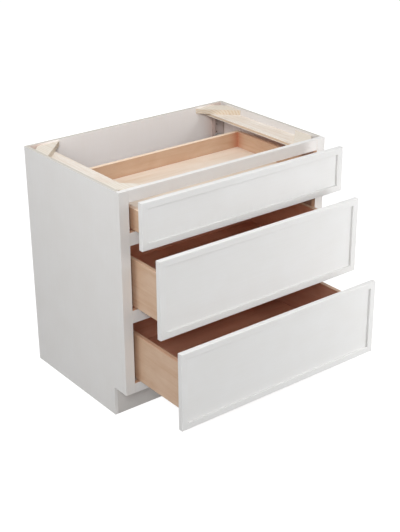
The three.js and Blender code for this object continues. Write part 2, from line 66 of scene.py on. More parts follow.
class Shader:
    """A material whose node tree is written as expressions: each method returns an output socket."""

    def __init__(self, name):
        self.material = bpy.data.materials.new(name)
        self.material.use_nodes = True
        self.tree = self.material.node_tree
        self.surface = self.tree.nodes["Principled BSDF"]

    def node(self, kind, inputs=(), **settings):
        made = self.tree.nodes.new("ShaderNode" + kind)
        for key, value in settings.items():
            setattr(made, key, value)
        for key, value in dict(inputs).items():
            self.feed(made.inputs[key], value)
        return made

    def feed(self, socket, value):
        if isinstance(value, bpy.types.NodeSocket):
            self.tree.links.new(value, socket)
        else:
            socket.default_value = value

    def set(self, **values):
        """Feeds the surface. An underscore in a name stands for a space."""
        for key, value in values.items():
            self.feed(self.surface.inputs[key.replace("_", " ")], value)

    def math(self, operation, *values, clamp=False):
        return self.node("Math", dict(enumerate(values)), operation=operation, use_clamp=clamp).outputs[0]

    def vector(self, operation, *values):
        return self.node("VectorMath", dict(enumerate(values)), operation=operation).outputs[0]

    def part(self, vector, axis):
        return self.node("SeparateXYZ", {0: vector}).outputs[axis]

    def total(self, *values):
        result = values[0]
        for value in values[1:]:
            result = self.math("ADD", result, value)
        return result

    def weighted(self, *pairs):
        """Sum of values, each times its weight."""
        return self.total(*(self.math("MULTIPLY", value, weight) for value, weight in pairs))

    def scaled(self, value, low, high, bottom=0.0, top=1.0):
        """A value between low and high, spread from bottom to top and held there beyond them."""
        inputs = {"Value": value, "From Min": low, "From Max": high, "To Min": bottom, "To Max": top}
        return self.node("MapRange", inputs, clamp=True).outputs[0]

    def fade(self, distance, reach, power, top=1.0):
        """From top where the distance is 0 down to 0 at the reach."""
        return self.math("POWER", self.scaled(distance, reach, 0, top=top), power)

    def mix(self, factor, first, second):
        return self.node("Mix", {0: factor, 6: first, 7: second}, data_type="RGBA").outputs[2]

    def between(self, shade, pale, deep):
        """From the pale colour to the deep one as the shade goes from 0 to 1."""
        return self.mix(self.math("MINIMUM", shade, 1.0, clamp=True), toned(pale), toned(deep))

    def darkened(self, colour, amount, tone):
        """The colour, multiplied by the tone where the amount is 1."""
        return self.vector("MULTIPLY", colour, self.mix(amount, (1, 1, 1, 1), tone))

    def noise(self, place, scale, detail=3.0, roughness=0.55, distortion=0.0, output="Fac"):
        inputs = {
            "Vector": place,
            "Scale": scale,
            "Detail": detail,
            "Roughness": roughness,
            "Distortion": distortion,
        }
        return self.node("TexNoise", inputs).outputs[output]

    def own(self, name, output="Fac"):
        """A property of the object that wears the material."""
        return self.node("Attribute", attribute_name=name, attribute_type="OBJECT").outputs[output]

    def worn(self):
        """1 on the eased edges of a refined piece, 0 on its faces."""
        return self.node("Attribute", attribute_name="eased", attribute_type="GEOMETRY").outputs["Fac"]

    def place(self):
        return self.node("TexCoord").outputs["Object"]

    def in_timber(self):
        """Place in the stretch of timber that the piece is cut from."""
        return self.vector("ADD", self.place(), self.own("cut_from", "Vector"))

    def drawn(self, place, axis, squeeze):
        """A place that draws a pattern out along one axis."""
        return self.vector("MULTIPLY", place, tuple(squeeze if a == axis else 1.0 for a in "XYZ"))

    def along(self, axis):
        return self.part(self.place(), axis)

    def turned(self, axis):
        """1 on faces that look along an axis, 0 on those beside it, -1 on those that look back."""
        return self.part(self.node("TexCoord").outputs["Normal"], axis)

    def square_to(self, axis):
        return self.math("ABSOLUTE", self.turned(axis))

    def to_end(self, axis):
        """Distance to the nearer of the two ends that the piece's property "ends" gives."""
        along, ends = self.along(axis), self.own("ends", "Vector")
        from_low = self.math("SUBTRACT", along, self.part(ends, "X"))
        from_high = self.math("SUBTRACT", self.part(ends, "Y"), along)
        return self.math("MINIMUM", from_low, from_high)

    def to_floor(self):
        """Height over the floor that the piece's property "ends" gives."""
        return self.math("SUBTRACT", self.along("Z"), self.part(self.own("ends", "Vector"), "Z"))

    def bump(self, height, strength, distance):
        inputs = {"Height": height, "Strength": strength, "Distance": distance}
        self.set(Normal=self.node("Bump", inputs).outputs[0])


def toned(colour, factors=(1, 1, 1)):
    """An opaque colour, each channel times its factor."""
    return tuple(c * f for c, f in zip(colour, factors)) + (1,)


# ---------------------------------------------------------------- materials

PAINT_SQUEEZE = 0.03  # how far each kind of pattern is squeezed along the grain
TIMBER_SQUEEZE = 0.035
FLAME_SQUEEZE = 0.5
PLY_SQUEEZE = 0.05
ROLLED_SQUEEZE = 0.02

PAINT_SHADE = (0.965, 0.955, 0.94)  # what the deeper tone of each kind keeps of its colour
SHADE_BELOW_GRAIN = (0.88, 0.84, 0.80)
FLECK_SHADE = (0.62, 0.50, 0.42)
STEEL_SHADE = (0.78, 0.78, 0.78)
# dark of the open joint beside the batten, and painted shade on the strips' ends
DARK_JOINT_AND_SHADE = (0.26, 0.21, 0.17, 1)

PAINT_SHEEN = 0.22
TIMBER_SHEEN = 0.35
PLY_SHEEN = 0.3
STEEL_METALLIC = 0.95

PAINT_RELIEF = 0.12 * MM
WOOD_RELIEF = 0.15 * MM
STEEL_RELIEF = 0.05 * MM

SHADE_BELOW_REAR = -0.1  # between these two, along Y, the painted warm shade inside a side reddens
SHADE_BELOW_FRONT = -0.34
SHADE_BELOW_BLEND = 3 * MM
BATTEN_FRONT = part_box("left_rear_batten")[0].y
JOINT_WIDTH = 5 * MM  # dark joint in front of the batten
JOINT_BLEND = 1 * MM

# how fast painted shade fades from a piece's ends, on paint and on the bottom drawer's floor
PAINTED_SHADE_POWER = 2.0
FLOOR_SHADE_POWER = 0.7
CORNER_REACH = 55 * MM  # how far the painted shade reaches from the corners and over the bottom
CORNER_POWER = 1.7
BOTTOM_REACH = 9 * MM
BOTTOM_POWER = 2.0
BOTTOM_STRENGTH = 0.75
WAVE_RING = 0.314  # spacing of the wave texture's rings at a scale of 1, in metres
DARK_END_BLEND = 4 * MM


def grained_shade_below(shader, painted, veneer, grain, mottle):
    """Paint above a level, below it a grained tone of painted warm shade, and an open joint by the rear
    batten.
    """
    *tones, level = veneer
    forward = shader.scaled(shader.along("Y"), SHADE_BELOW_REAR, SHADE_BELOW_FRONT)
    pale = shader.mix(forward, *(toned(tone) for tone in tones))
    dark = shader.mix(forward, *(toned(tone, SHADE_BELOW_GRAIN) for tone in tones))
    streak = shader.scaled(shader.total(grain, mottle), 0.8, 1.25)
    wood = shader.mix(streak, pale, dark)
    start = BATTEN_FRONT - JOINT_WIDTH
    open_joint = shader.scaled(shader.along("Y"), start, start + JOINT_BLEND, top=0.75)
    wood = shader.mix(open_joint, wood, DARK_JOINT_AND_SHADE)
    below = shader.scaled(shader.along("Z"), level, level - SHADE_BELOW_BLEND)
    return shader.mix(below, painted, wood)


def paint(name, colour, grain_axis, roughness, veneer=None, painted_shade=None):
    """Sprayed satin paint: a trace of the wood's grain, orange peel, soft mottling and rubbed edges.

    veneer is (rear tone, front tone, level): below that height a side shows a grained tone that
    reddens from the rear to the front, painted warm shade under the strips. painted_shade is (axis,
    reach, tone): how far along an axis, from the piece's ends, the paint is darkened as painted shade.
    """
    shader = Shader(name)
    place = shader.in_timber()
    grain = shader.noise(shader.drawn(place, grain_axis, PAINT_SQUEEZE), scale=260, detail=4)
    peel = shader.noise(place, scale=900, detail=2)
    mottle = shader.noise(place, scale=9, detail=4)
    specks = shader.scaled(shader.noise(place, scale=420, detail=1), 0.74, 0.8)
    shade = shader.total(
        shader.scaled(mottle, 0.3, 0.7, top=0.55),
        shader.scaled(grain, 0.35, 0.7, top=0.3),
        shader.math("MULTIPLY", specks, 0.5),
        shader.math("MULTIPLY", shader.worn(), shader.scaled(mottle, 0.4, 0.65, top=0.8)),
    )
    finish = shader.mix(shade, toned(colour), toned(colour, PAINT_SHADE))
    # below the strips, a grained tone that is painted warm shade
    if veneer:
        finish = grained_shade_below(shader, finish, veneer, grain, mottle)
    # painted shade: darker towards the piece's ends along an axis
    if painted_shade:
        axis, reach, tone = painted_shade
        finish = shader.darkened(finish, shader.fade(shader.to_end(axis), reach, PAINTED_SHADE_POWER), tone)
    uneven = shader.total(peel, mottle)
    shader.set(
        Base_Color=finish,
        Roughness=shader.scaled(uneven, 0.7, 1.3, roughness - 0.05, roughness + 0.07),
        Specular_IOR_Level=PAINT_SHEEN,
    )
    height = shader.weighted((peel, 0.5), (grain, 0.8), (specks, 0.4))
    shader.bump(height, strength=0.16, distance=PAINT_RELIEF)
    return shader.material


def timber(name, axis, tones, ring, look):
    """Solid wood cut along one axis. Growth rings lie round a pith line that each board has of its own.

    tones is (pale, deep). Where the look has a tone for corners, the wood is darker there as painted shade:
    at the ends and the bottom that the piece's property "ends" gives. Where it has a painted_shade, (reach,
    tone), the wood is darker towards its ends along Y, also painted shade.
    """
    pale, deep = tones
    shader = Shader(name)
    place = shader.in_timber()
    drawn = shader.drawn(place, axis, TIMBER_SQUEEZE)
    sway = shader.noise(drawn, scale=7, roughness=0.5, output="Color")
    swayed = shader.vector("ADD", drawn, shader.vector("MULTIPLY", sway, (look["sway"],) * 3))
    wave = {
        "Vector": swayed,
        "Scale": WAVE_RING / ring,
        "Distortion": 1.2,
        "Detail": 2.0,
        "Detail Scale": 2.0,
    }
    saw = {"wave_type": "RINGS", "rings_direction": axis, "wave_profile": "SAW"}
    late_wood = shader.scaled(shader.node("TexWave", wave, **saw).outputs["Fac"], 0.35, 1.0)
    fibre = shader.noise(drawn, scale=1500, detail=3, roughness=0.65)
    patches = shader.scaled(shader.noise(drawn, scale=30, detail=2), 0.4, 0.62, bottom=0.25)
    streaks = shader.scaled(shader.noise(drawn, scale=130, detail=4, roughness=0.6), 0.38, 0.68)
    tone = shader.noise(drawn, scale=14, detail=3)
    slow = shader.drawn(place, axis, FLAME_SQUEEZE)
    flame = shader.noise(slow, scale=16, detail=3, roughness=0.5, distortion=0.8)
    end = shader.square_to(axis)
    end_grain = shader.scaled(end, 0.45, 0.95)
    cut_rings = shader.scaled(end, 0.4, 0.7, look["rings"], look["cut_rings"])
    shade = shader.total(
        shader.math("MULTIPLY", late_wood, cut_rings),
        shader.math("MULTIPLY", shader.math("MULTIPLY", streaks, patches), look["streaks"]),
        shader.scaled(fibre, 0.45, 0.8, top=look["fibre"]),
        shader.scaled(tone, 0.3, 0.7, top=look["tone"]),
        shader.scaled(flame, 0.4, 0.7, top=look["flame"]),
        shader.own("tint"),
        shader.math("MULTIPLY", end_grain, look["end"]),
        shader.math("MULTIPLY", shader.worn(), 0.06),
    )
    colour = shader.between(shade, pale, deep)
    dark = toned(deep, FLECK_SHADE)
    flecks = shader.scaled(shader.noise(drawn, scale=620, detail=2), 0.7, 0.78, top=look["flecks"])
    colour = shader.mix(flecks, colour, dark)
    if look["knots"]:
        spots = shader.node("TexVoronoi", {"Vector": swayed, "Scale": 17.0}).outputs["Distance"]
        colour = shader.mix(shader.scaled(spots, 0.1, 0.03, top=look["knots"]), colour, dark)
    # painted shade in the corners and along the bottom
    if look["corners"]:
        at_ends = shader.fade(shader.to_end(axis), CORNER_REACH, CORNER_POWER)
        at_bottom = shader.fade(shader.to_floor(), BOTTOM_REACH, BOTTOM_POWER, BOTTOM_STRENGTH)
        colour = shader.darkened(colour, shader.math("MAXIMUM", at_ends, at_bottom), look["corners"])
    # painted shade: darker towards the ends along Y
    if look["painted_shade"]:
        reach, tone = look["painted_shade"]
        colour = shader.darkened(colour, shader.fade(shader.to_end("Y"), reach, FLOOR_SHADE_POWER), tone)
    dull = shader.total(fibre, shader.math("MULTIPLY", end_grain, 0.6))
    shader.set(
        Base_Color=colour,
        Roughness=shader.scaled(dull, 0.3, 1.3, look["roughness"], look["roughness"] + 0.25),
        Specular_IOR_Level=TIMBER_SHEEN,
    )
    height = shader.weighted((fibre, 0.6), (late_wood, 0.25), (streaks, 0.4))
    shader.bump(height, strength=look["relief"], distance=WOOD_RELIEF)
    return shader.material


def plywood(name, across, grain_axis, veneer, tones, sway=0.25, shaded_ends=0.0):
    """Plywood: rotary-cut face veneer, and plies that alternate through its thickness on the edges.

    tones is (pale, core). sway is how far the plies wander, in veneers. shaded_ends is how far the upper
    face is dark from each of the piece's ends, where it lies in a deep corner: painted shade.
    """
    pale, core = tones
    shader = Shader(name)
    place = shader.in_timber()
    depth = shader.math("SUBTRACT", shader.along(across), shader.own("ply_start"))
    waviness = shader.math("MULTIPLY", shader.noise(place, scale=12, detail=2), sway)
    count = shader.math("ADD", shader.math("DIVIDE", depth, veneer), waviness)
    phase = shader.math("PINGPONG", count, 1.0)
    cross_ply = shader.scaled(phase, 0.42, 0.58)
    glue = shader.scaled(shader.math("ABSOLUTE", shader.math("SUBTRACT", phase, 0.5)), 0.1, 0.02)
    on_edge = shader.scaled(shader.square_to(across), 0.6, 0.4)
    drawn = shader.drawn(place, grain_axis, PLY_SQUEEZE)
    cathedral = shader.noise(drawn, scale=26, detail=3, roughness=0.5, distortion=1.4)
    rings = shader.math("PINGPONG", shader.math("MULTIPLY", cathedral, 9.0), 1.0)
    fibre = shader.noise(drawn, scale=900, detail=3, roughness=0.6)
    tone = shader.noise(place, scale=6, detail=3)
    pores = shader.noise(place, scale=1600, detail=2)
    grain = shader.total(
        shader.math("MULTIPLY", rings, 0.26),
        shader.scaled(fibre, 0.4, 0.75, top=0.3),
        shader.scaled(tone, 0.35, 0.7, top=0.25),
    )
    edge = shader.total(
        shader.math("MULTIPLY", cross_ply, 0.75),
        shader.scaled(pores, 0.4, 0.7, top=0.35),
        shader.math("MULTIPLY", glue, 0.7),
    )
    shade = shader.node("Mix", {0: on_edge, 2: grain, 3: edge}, data_type="FLOAT").outputs[0]
    colour = shader.between(shade, pale, core)
    # painted shade on the upper face near the ends
    if shaded_ends:
        near_end = shader.scaled(shader.to_end(grain_axis), shaded_ends, shaded_ends - DARK_END_BLEND, top=0.85)
        upper = shader.scaled(shader.turned(across), 0.8, 0.9)
        colour = shader.mix(shader.math("MULTIPLY", near_end, upper), colour, DARK_JOINT_AND_SHADE)
    shader.set(
        Base_Color=colour,
        Roughness=shader.scaled(fibre, 0.3, 0.7, 0.5, 0.68),
        Specular_IOR_Level=PLY_SHEEN,
    )
    stepped = shader.math("MULTIPLY", cross_ply, on_edge)
    height = shader.weighted((fibre, 0.6), (rings, 0.3), (stepped, 0.5))
    shader.bump(height, strength=0.25, distance=WOOD_RELIEF)
    return shader.material


def zinc(name, colour, roughness):
    """Zinc-plated sheet steel: rolled along Y, with a faint spangle and dulled edges."""
    shader = Shader(name)
    place = shader.place()
    rolled = shader.noise(shader.drawn(place, "Y", ROLLED_SQUEEZE), scale=1400, detail=3)
    spangle = shader.node("TexVoronoi", {"Vector": place, "Scale": 160.0}).outputs["Color"]
    grey = shader.node("SeparateColor", {0: spangle}).outputs[0]
    film = shader.noise(place, scale=22, detail=4)
    shade = shader.total(
        shader.math("MULTIPLY", grey, 0.25),
        shader.scaled(rolled, 0.35, 0.7, top=0.3),
        shader.scaled(film, 0.4, 0.7, top=0.4),
        shader.math("MULTIPLY", shader.worn(), 0.2),
    )
    uneven = shader.total(rolled, film)
    shader.set(
        Base_Color=shader.mix(shade, toned(colour), toned(colour, STEEL_SHADE)),
        Metallic=STEEL_METALLIC,
        Roughness=shader.scaled(uneven, 0.6, 1.4, roughness - 0.08, roughness + 0.14),
    )
    shader.bump(rolled, strength=0.1, distance=STEEL_RELIEF)
    return shader.material


MAPLE_LOOK = {
    "sway": 0.012,
    "rings": 0.07,
    "cut_rings": 0.3,
    "streaks": 0.34,
    "fibre": 0.14,
    "tone": 0.3,
    "flame": 0.3,
    "flecks": 0.22,
    "end": 0.2,
    "knots": 0.0,
    "roughness": 0.36,
    "relief": 0.12,
    "corners": None,
    "painted_shade": None,
}
# the top drawer's boards darker in the corners and along the bottom: painted shade
SHALLOW_LOOK = {**MAPLE_LOOK, "corners": (0.84, 0.54, 0.46, 1)}
# the bottom drawer's floor darker towards its front and rear: painted shade
LOW_FLOOR_LOOK = {**MAPLE_LOOK, "painted_shade": (110 * MM, (0.62, 0.5, 0.45, 1))}
PINE_LOOK = {
    "sway": 0.02,
    "rings": 0.4,
    "cut_rings": 0.55,
    "streaks": 0.16,
    "fibre": 0.12,
    "tone": 0.18,
    "flame": 0.05,
    "flecks": 0.12,
    "end": 0.42,
    "knots": 0.7,
    "roughness": 0.5,
    "relief": 0.3,
    "corners": None,
    "painted_shade": None,
}

WHITE = (0.84, 0.83, 0.82)
FRONT_WHITE = (0.84, 0.84, 0.835)
# the back's lining, paler than the outer paint: painted light on the inner back wall
LIT_INSIDE_WHITE = (0.96, 0.935, 0.925)
SHADED_UPPER_WHITE = (0.76, 0.735, 0.72)  # inside the sides, above the strips' underside: darker than the back's lining, painted shade
# darker than the carcass paint: painted shade in the toe recess
SHADED_TOE_WHITE = (0.765, 0.745, 0.725)
# the toe board darker towards the floor: painted shade
TOE_PAINTED_SHADE = ("Z", 130 * MM, (0.8, 0.8, 0.8, 1))
# tones below the strips inside the sides, rear and front: painted warm shade
SHADE_BELOW_TONES = ((0.86, 0.77, 0.74), (0.80, 0.56, 0.465))
# the back's lining darker beside the battens: painted shade
LINING_PAINTED_SHADE = ("X", 80 * MM, (0.8, 0.69, 0.64, 1))
# battens darker than the lining, darker still on their sides and towards their inner edges: painted shade
SHADED_BATTEN_TONE = (0.58, 0.51, 0.49)
SHADED_BATTEN_SIDE = (0.44, 0.345, 0.315)
BATTEN_PAINTED_SHADE = ("X", 30 * MM, (0.62, 0.54, 0.50, 1))
# bare wood inside the peg holes, deepened to near black as painted shade
SHADED_BORE_TONE = (0.10, 0.06, 0.04)
RAW_MAPLE = (0.60, 0.38, 0.26)  # edges that the rails and the stiles turn to the openings
# the stiles' bare maple, lighter than the rails': painted light on edges in shade
LIGHTENED_RAW_STILE = (0.92, 0.68, 0.52)
STEEL = (0.62, 0.63, 0.64)
SCREW_TONE = (0.66, 0.64, 0.58)

MAPLE_TONES = ((0.72, 0.54, 0.40), (0.54, 0.32, 0.19))
# maple inside the boxes, redder and deeper for the lower drawers: painted warm shade
SHADED_SHALLOW_TONES = ((0.63, 0.445, 0.315), (0.48, 0.265, 0.15))
SHADED_INSIDE_TONES = ((0.86, 0.475, 0.33), (0.71, 0.29, 0.17))
SHADED_LOW_FLOOR_TONES = ((0.885, 0.50, 0.355), (0.71, 0.30, 0.172))
SHADED_LOW_WALL_TONES = ((0.64, 0.345, 0.245), (0.50, 0.205, 0.12))
# rims paler than the maple: painted light on faces that look up
LIT_RIM_TONES = ((0.92, 0.76, 0.61), (0.80, 0.58, 0.41))
LIT_DEEP_RIM_TONES = ((0.80, 0.58, 0.42), (0.64, 0.40, 0.26))
SHADED_RIM_TONES = ((0.71, 0.48, 0.345), (0.56, 0.325, 0.21))
PANEL_TONES = ((0.87, 0.78, 0.69), (0.72, 0.57, 0.43))
PINE_TONES = ((0.79, 0.745, 0.67), (0.64, 0.50, 0.35))
PLY_TONES = ((0.89, 0.85, 0.80), (0.62, 0.47, 0.32))
EDGE_TONES = ((0.65, 0.63, 0.58), (0.55, 0.515, 0.46))

MAPLE_RING = 3.2 * MM
PANEL_RING = 7 * MM
PINE_RING = 8.5 * MM
BOARD_PLY = 12.7 * MM / 5
STRIP_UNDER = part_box("left_top_strip")[0].z
STRIP_PLY = (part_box("left_top_strip")[1].z - STRIP_UNDER) / 2
STRIP_SWAY = 0.05
# painted shade on the strips' upper face, from each end under the braces
STRIP_SHADED_ENDS = 34 * MM


def maples(kind, tones, look=MAPLE_LOOK):
    """The maple of a box's boards, for the boards along X and those along Y."""
    return {axis: timber(f"maple_{kind}{axis}", axis, tones, MAPLE_RING, look) for axis in "XY"}


PAINTS = {axis: paint(f"carcass_paint_{axis}", WHITE, axis, roughness=0.5) for axis in "XYZ"}
FRONT_PAINTS = {axis: paint(f"front_paint_{axis}", FRONT_WHITE, axis, roughness=0.45) for axis in "XZ"}
TOE_PAINT = paint("toe_paint", SHADED_TOE_WHITE, "X", roughness=0.48, painted_shade=TOE_PAINTED_SHADE)
BACK_LINING = paint("back_lining", LIT_INSIDE_WHITE, "Z", roughness=0.46, painted_shade=LINING_PAINTED_SHADE)
# painted warm shade below the strips' underside
SIDE_SHADE_BELOW = (*SHADE_BELOW_TONES, STRIP_UNDER)
SIDE_LINING = paint("side_lining", SHADED_UPPER_WHITE, "Z", roughness=0.46, veneer=SIDE_SHADE_BELOW)
BATTEN_FINISH = paint("batten_finish", SHADED_BATTEN_TONE, "Z", roughness=0.5, painted_shade=BATTEN_PAINTED_SHADE)
BATTEN_EDGE = paint("batten_edge", SHADED_BATTEN_SIDE, "Z", roughness=0.6)
BORE_WALL = paint("bore_wall", SHADED_BORE_TONE, "Y", roughness=0.8)
FRAME_EDGES = {
    "X": paint("frame_edge_X", RAW_MAPLE, "X", roughness=0.55),
    "Z": paint("frame_edge_Z", LIGHTENED_RAW_STILE, "Z", roughness=0.55),
}
MAPLES = maples("", MAPLE_TONES)
INSIDES = maples("inside_", SHADED_INSIDE_TONES)
LOW_WALLS = maples("low_wall_", SHADED_LOW_WALL_TONES)
LOW_FLOOR = timber("maple_low_floor", "X", SHADED_LOW_FLOOR_TONES, MAPLE_RING, LOW_FLOOR_LOOK)
SHALLOWS = maples("shallow_", SHADED_SHALLOW_TONES, SHALLOW_LOOK)
RIMS = maples("rim_", LIT_RIM_TONES)
DEEP_RIMS = maples("deep_rim_", LIT_DEEP_RIM_TONES)
SHADED_RIM = timber("maple_shaded_rim", "Y", SHADED_RIM_TONES, MAPLE_RING, MAPLE_LOOK)
PANEL = timber("maple_panel", "X", PANEL_TONES, PANEL_RING, MAPLE_LOOK)
PINE = timber("pine", "Y", PINE_TONES, PINE_RING, PINE_LOOK)
EDGE_UPRIGHT = plywood("raw_edge_upright", "X", "Z", BOARD_PLY, EDGE_TONES)
EDGE_BACK = plywood("raw_edge_back", "Y", "Z", BOARD_PLY, EDGE_TONES)
PLY_BACK = plywood("plywood_back", "Y", "Z", BOARD_PLY, PLY_TONES)
PLY_STRIP = plywood("plywood_strip", "Z", "Y", STRIP_PLY, PLY_TONES, STRIP_SWAY, STRIP_SHADED_ENDS)
PLY_LEVEL = plywood("plywood_level", "Z", "Y", BOARD_PLY, PLY_TONES)
STEEL_SHEET = zinc("zinc_sheet", STEEL, roughness=0.34)
STEEL_SCREW = zinc("zinc_screw", SCREW_TONE, roughness=0.28)


# ---------------------------------------------------------------- mesh helpers

EASE = 0.5 * MM  # how far the edges of each kind are eased
BRACE_EASE = 0.6 * MM
BATTEN_EASE = 0.4 * MM
PLY_EASE = 0.3 * MM
FINE_EASE = 0.25 * MM
SHEET_EASE = 0.2 * MM
EASE_STEPS = 2
ROUNDING_STEPS = 4
FLAT_ANGLE = math.radians(1)
SHARP_ANGLE = math.radians(28)
CREASE_ANGLE = math.radians(50)
WELD = 0.02 * MM
FACING = 0.7  # a face looks along an axis where its normal has more than this of it


def cleaned(node):
    """The node's mesh with shared vertices and whole flat faces."""
    mesh = bmesh.new()
    mesh.from_mesh(frame["nodes"][node].data)
    bmesh.ops.remove_doubles(mesh, verts=mesh.verts, dist=WELD)
    bmesh.ops.dissolve_limit(mesh, angle_limit=FLAT_ANGLE, verts=mesh.verts, edges=mesh.edges)
    return mesh


def sharp_edges(mesh):
    return [e for e in mesh.edges if len(e.link_faces) == 2 and e.calc_face_angle(0) > SHARP_ANGLE]


def ease(mesh, edges, width, steps=EASE_STEPS):
    """Bevels edges and marks the new faces as eased."""
    layer = mesh.faces.layers.float.get("eased") or mesh.faces.layers.float.new("eased")
    made = bmesh.ops.bevel(
        mesh,
        geom=edges,
        offset=width,
        offset_type="OFFSET",
        segments=steps,
        profile=0.5,
        affect="EDGES",
        clamp_overlap=True,
    )
    for face in made["faces"]:
        face[layer] = 1.0


def to_object(mesh, name, materials, choose=None):
    """Turns a bmesh into an object. choose(face) gives the index of a face's material."""
    if choose:
        for face in mesh.faces:
            face.material_index = choose(face)
    for face in mesh.faces:
        face.smooth = True
    for edge in mesh.edges:
        edge.smooth = len(edge.link_faces) != 2 or edge.calc_face_angle(0) < CREASE_ANGLE
    data = bpy.data.meshes.new(name)
    mesh.to_mesh(data)
    mesh.free()
    for material in materials:
        data.materials.append(material)
    piece = bpy.data.objects.new(name, data)
    bpy.context.scene.collection.objects.link(piece)
    weighted = piece.modifiers.new("normals", "WEIGHTED_NORMAL")
    weighted.keep_sharp = True
    return piece


FROM_PITH = (0.06, 0.35)  # how far along each axis a board lies from the pith of its tree
TINTS = (-0.06, 0.08)
DEEPER = {"top_drawer_left_side": 0.1, "bottom_drawer_left_side": 0.12}  # left sides made deeper in tone than the other boards; on the top drawer this is painted shade


def cut_from(piece, name, pith=None):
    """Gives a board its own stretch of timber: where the pith lies, and how deep its tone is."""
    draw = random.Random(name)
    away = [draw.choice((-1, 1)) * draw.uniform(*FROM_PITH) for _ in range(3)]
    if pith:
        away = [-p for p in pith]
    piece["cut_from"] = [float(a) for a in away]
    piece["tint"] = draw.uniform(*TINTS) + DEEPER.get(name, 0.0)


BODY_OF = {node: body for body, nodes in frame["record"]["behaviour"]["bodies"].items() for node in nodes}


def stand_for(piece, node):
    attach(piece, BODY_OF[node])
    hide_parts(node)


def refine(node, materials, choose=None, width=EASE, rounding=None, ply_start=0.0, pith=None, ends=(0, 0, 0)):
    """A refined copy of a CAD node. Edges beside faces that are smooth already stay as they are.

    rounding is (radius, test of an edge) for edges rounded over first. ply_start is where the plies
    start across a board. ends is (low, high, floor): two ends along an axis and a level, for finishes.
    """
    mesh = cleaned(node)
    if rounding:
        radius, chosen = rounding
        ease(mesh, [e for e in sharp_edges(mesh) if chosen(e)], radius, ROUNDING_STEPS)
    ease(mesh, [e for e in sharp_edges(mesh) if not any(f.smooth for f in e.link_faces)], width)
    piece = to_object(mesh, f"finished_{node}", materials, choose)
    cut_from(piece, node, pith)
    piece["ply_start"] = float(ply_start)
    piece["ends"] = [float(e) for e in ends]
    stand_for(piece, node)


# ---------------------------------------------------------------- carcass

PAINTED, RAW, INNER = range(3)
FAR = 1.0  # stands for an end that is out of reach
PITH_ASIDE = 35 * MM  # where the pith of a brace's board lies, from its inner edge and its underside
PITH_BELOW = 10 * MM


def side_finish(low, high, sign):
    """Raw at the rear and on both ends, lined inside, painted elsewhere and in the toe notch."""

    def choose(face):
        normal, level = face.normal, face.calc_center_median().z
        at_end = not low.z + EASE < level < high.z - EASE
        if normal.y > FACING or (abs(normal.z) > FACING and at_end):
            return RAW
        return INNER if normal.x * sign < -FACING else PAINTED

    return choose


def back_finish(face):
    """Raw at the rear and on the narrow edges, lined inside."""
    normal = face.normal
    if normal.y > FACING or abs(normal.x) > FACING or abs(normal.z) > FACING:
        return RAW
    return INNER if normal.y < -FACING else PAINTED


def batten_finish(low, high):
    """0 on a batten's front, 1 on its narrow edges, 2 on the walls and floors of its peg holes."""

    def choose(face):
        middle = face.calc_center_median()
        on_skin = any(abs(middle[i] - bound[i]) < EASE for i in range(3) for bound in (low, high))
        return int(abs(face.normal.x) > FACING) if on_skin else 2

    return choose


def stile_finish(sign):
    """1 on the edge that a stile turns to the openings, which is bare wood, and 0 elsewhere."""
    return lambda face: int(face.normal.x * sign < -FACING)


def rail_finish(frame_top):
    """1 on the edges that a rail turns to the openings, which are bare wood, and 0 elsewhere."""
    return lambda face: int(abs(face.normal.z) > FACING and face.calc_center_median().z < frame_top - EASE)


def build_side(side, sign):
    panel = f"{side}_side_panel"
    low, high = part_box(panel)
    finishes = [PAINTS["Z"], EDGE_UPRIGHT, SIDE_LINING]
    refine(panel, finishes, side_finish(low, high, sign), ply_start=low.x)
    refine(f"{side}_stile", [PAINTS["Z"], FRAME_EDGES["Z"]], stile_finish(sign))

    batten = f"{side}_rear_batten"
    low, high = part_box(batten)
    across = (low.x, low.x + FAR, 0) if sign > 0 else (high.x - FAR, high.x, 0)
    finishes = [BATTEN_FINISH, BATTEN_EDGE, BORE_WALL]
    refine(batten, finishes, batten_finish(low, high), width=BATTEN_EASE, ends=across)

    strip = f"{side}_top_strip"
    low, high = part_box(strip)
    refine(strip, [PLY_STRIP], width=PLY_EASE, ply_start=low.z, ends=(low.y, high.y, 0))
    for end in ("front", "rear"):
        brace = f"{end}_{side}_corner_brace"
        low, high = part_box(brace)
        inner = low.x if sign > 0 else high.x
        pith = (inner + sign * PITH_ASIDE, 0, low.z - PITH_BELOW)
        refine(brace, [PINE], width=BRACE_EASE, pith=pith)


def build_carcass():
    for side, sign in SIDES.items():
        build_side(side, sign)
    between = (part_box("left_rear_batten")[1].x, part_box("right_rear_batten")[0].x, 0)
    finishes = [PAINTS["Z"], EDGE_BACK, BACK_LINING]
    refine("back_panel", finishes, back_finish, ply_start=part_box("back_panel")[0].y, ends=between)
    finish = rail_finish(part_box("top_rail")[1].z)
    for rail in ("top_rail", "upper_middle_rail", "lower_middle_rail", "bottom_rail"):
        refine(rail, [PAINTS["X"], FRAME_EDGES["X"]], finish)
    refine("cabinet_floor", [PLY_LEVEL], ply_start=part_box("cabinet_floor")[0].z)
    refine("toe_board", [TOE_PAINT], ends=(0, FAR, 0))
    refine("rear_base_rail", [PLY_BACK], ply_start=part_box("rear_base_rail")[0].y)


# ---------------------------------------------------------------- drawer fronts

MEMBER_WIDTH = 24 * MM
MEMBER_THICKNESS = 19.05 * MM
PANEL_RECESS = 6 * MM  # how far the panel lies behind the face of its frame
GROOVE_DEPTH = 9.6 * MM
GROOVE_WIDTH = 5.4 * MM
OUTER_RADIUS = 2 * MM
INNER_RADIUS = 1 * MM
BACK_EASE = 0.6 * MM
ARC_STEPS = 7
MITRE_LINE = 0.06 * MM  # how far each member stands back from its mitres


